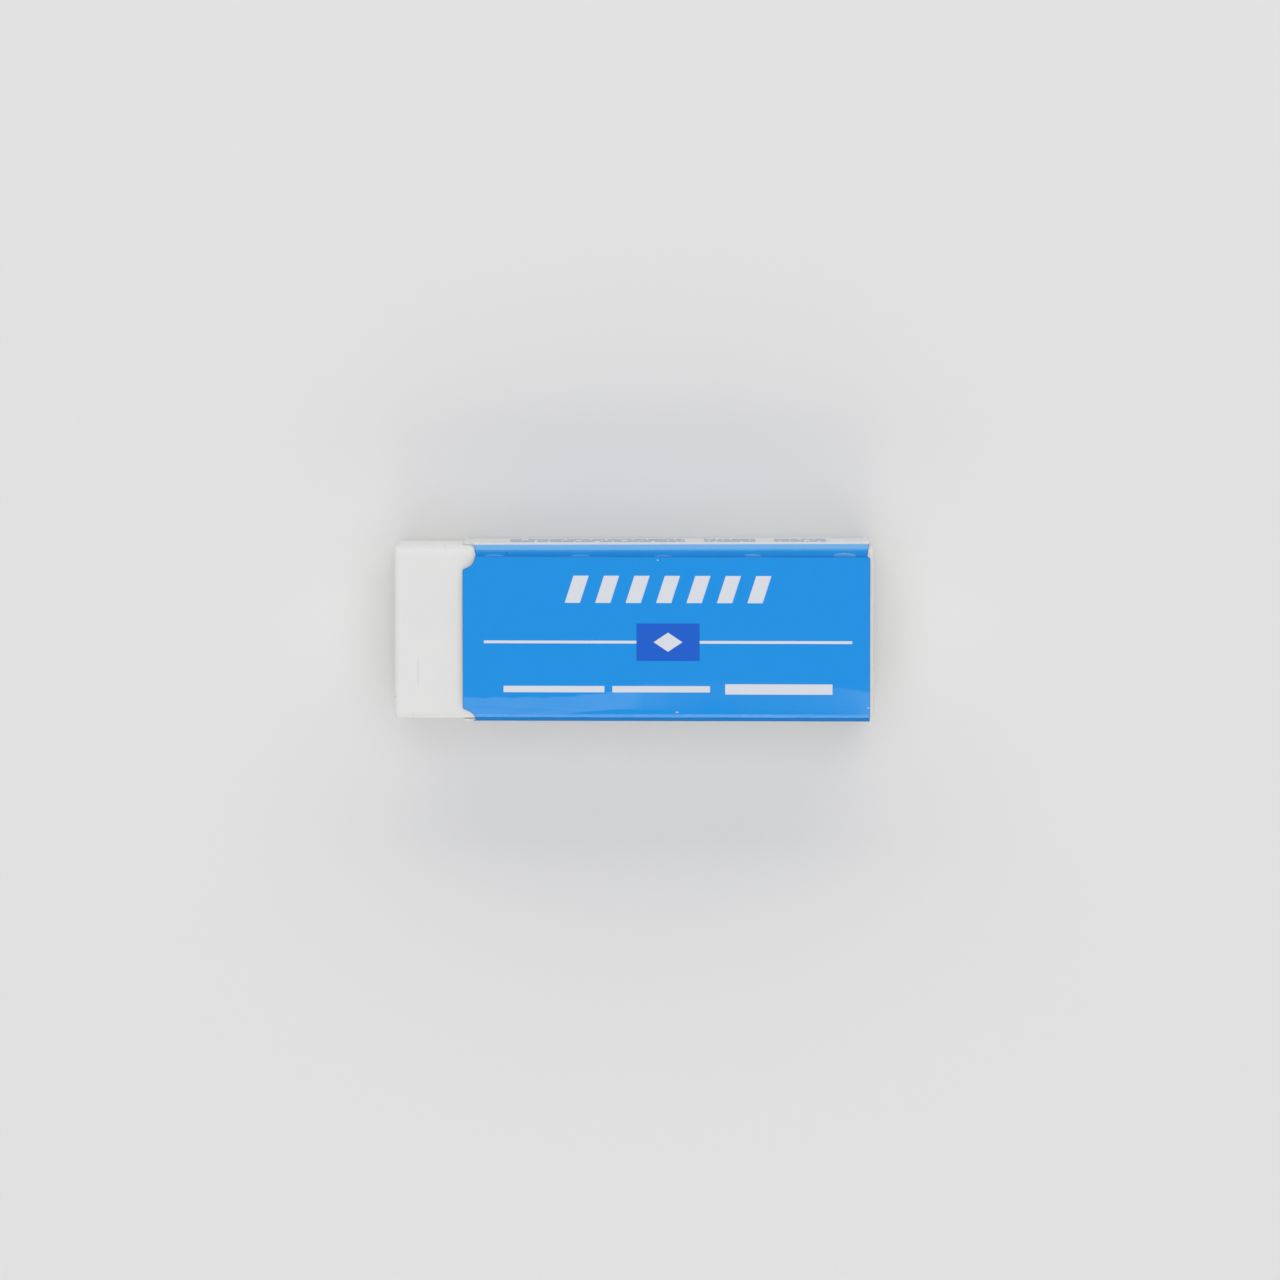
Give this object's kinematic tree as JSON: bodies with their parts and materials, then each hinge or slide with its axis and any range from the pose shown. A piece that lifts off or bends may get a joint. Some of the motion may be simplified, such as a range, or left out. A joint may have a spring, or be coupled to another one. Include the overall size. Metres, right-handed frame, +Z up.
{
  "type": "block eraser",
  "caption": "White block eraser in a folded card sleeve that slides along it, with a blue printed top, a glued seam and round notches at its folds.",
  "frame": {"origin": "on the surface that the sleeve lies on, under the middle of the block's length and width", "axes": "+X along the block from the bare end to the covered end, +Y towards the side wall next to the seam, +Z up out of the printed top"},
  "size_m": [0.06, 0.0224, 0.0131],
  "materials": {
    "vinyl": "matte",
    "card": "coated",
    "glue": "glossy",
    "blue_ink": "glossy varnish",
    "dark_ink": "glossy varnish",
    "violet_ink": "glossy varnish"
  },
  "bodies": {
    "block": {"eraser_block": "vinyl"},
    "sleeve": {"card_sleeve": "card", "glue_dots": "glue", "blue_print": "blue_ink", "badge_print": "dark_ink", "side_print": "violet_ink"}
  },
  "joints": [
    {"name": "sleeve_slide", "type": "slide", "parent": "block", "child": "sleeve", "axis": [1, 0, 0], "range_m": [-0.0086, 0.053]}
  ]
}
